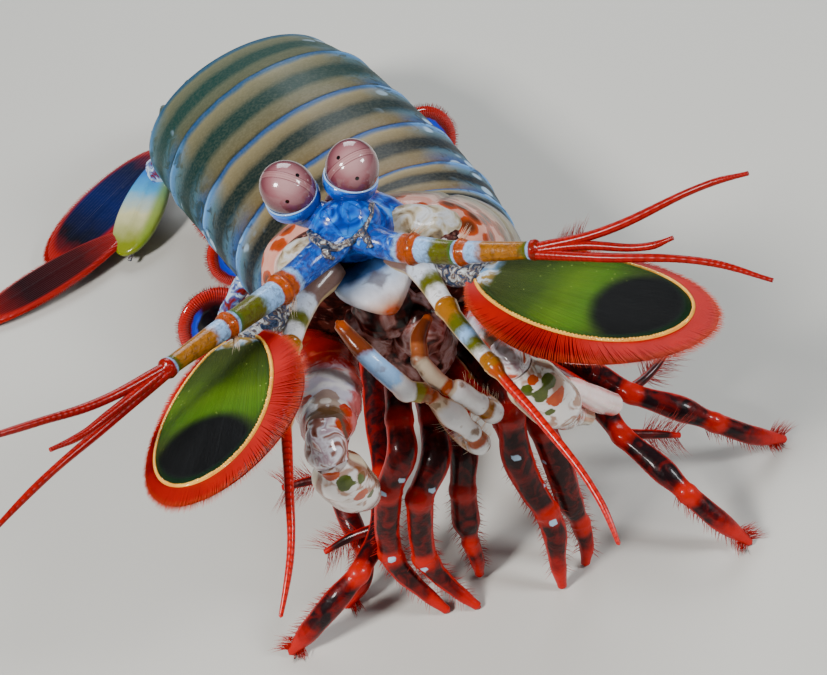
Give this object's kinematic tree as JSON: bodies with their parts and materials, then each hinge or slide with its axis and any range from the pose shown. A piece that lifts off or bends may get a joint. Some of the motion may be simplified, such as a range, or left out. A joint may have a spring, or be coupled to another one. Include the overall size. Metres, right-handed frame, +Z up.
{
  "type": "mantis shrimp",
  "caption": "Life-size model of a peacock mantis shrimp standing with its fore body raised, feelers and antennal scales spread.",
  "frame": {"origin": "centre of the bounding box at floor level", "axes": "+X to the animal's left, +Y towards its tail, +Z up"},
  "size_m": [0.0926, 0.1366, 0.0564],
  "materials": {
    "body_shell": "gloss",
    "head_blue": "gloss",
    "cornea": "gloss",
    "limb_red": "gloss",
    "limb_dark": "gloss",
    "feeler": "gloss",
    "scale_green": "gloss",
    "claw": "gloss"
  },
  "bodies": {
    "root": {"carapace": "body_shell", "head": "head_blue", "thorax_somite_6": "body_shell", "thorax_somite_7": "body_shell", "thorax_somite_8": "body_shell", "abdomen_somite_1": "body_shell", "abdomen_somite_2": "body_shell", "abdomen_somite_3": "body_shell", "abdomen_somite_4": "body_shell", "abdomen_somite_5": "body_shell", "abdomen_somite_6": "body_shell", "cornea_right": "cornea", "eyestalk_right": "head_blue", "uropod_right": "limb_red", "antennule_right": "feeler", "antennule_flagella_right": "limb_red", "antenna_right": "feeler", "antennal_scale_right": "scale_green", "raptorial_merus_right": "claw", "raptorial_carpus_right": "claw", "raptorial_propodus_right": "claw", "raptorial_dactyl_right": "claw", "maxilliped_1_right": "feeler", "maxilliped_3_right": "limb_dark", "maxilliped_4_right": "limb_dark", "maxilliped_5_right": "limb_dark", "walking_leg_1_right": "limb_dark", "walking_leg_2_right": "limb_dark", "walking_leg_3_right": "limb_dark", "pleopod_1_right": "limb_red", "pleopod_2_right": "limb_red", "pleopod_3_right": "limb_red", "pleopod_4_right": "limb_red", "pleopod_5_right": "limb_red", "cornea_left": "cornea", "eyestalk_left": "head_blue", "uropod_left": "limb_red", "antennule_left": "feeler", "antennule_flagella_left": "limb_red", "antenna_left": "feeler", "antennal_scale_left": "scale_green", "raptorial_merus_left": "claw", "raptorial_carpus_left": "claw", "raptorial_propodus_left": "claw", "raptorial_dactyl_left": "claw", "maxilliped_1_left": "feeler", "maxilliped_3_left": "limb_dark", "maxilliped_4_left": "limb_dark", "maxilliped_5_left": "limb_dark", "walking_leg_1_left": "limb_dark", "walking_leg_2_left": "limb_dark", "walking_leg_3_left": "limb_dark", "pleopod_1_left": "limb_red", "pleopod_2_left": "limb_red", "pleopod_3_left": "limb_red", "pleopod_4_left": "limb_red", "pleopod_5_left": "limb_red", "telson": "body_shell", "labrum": "claw", "mouthparts": "limb_dark"}
  },
  "joints": []
}
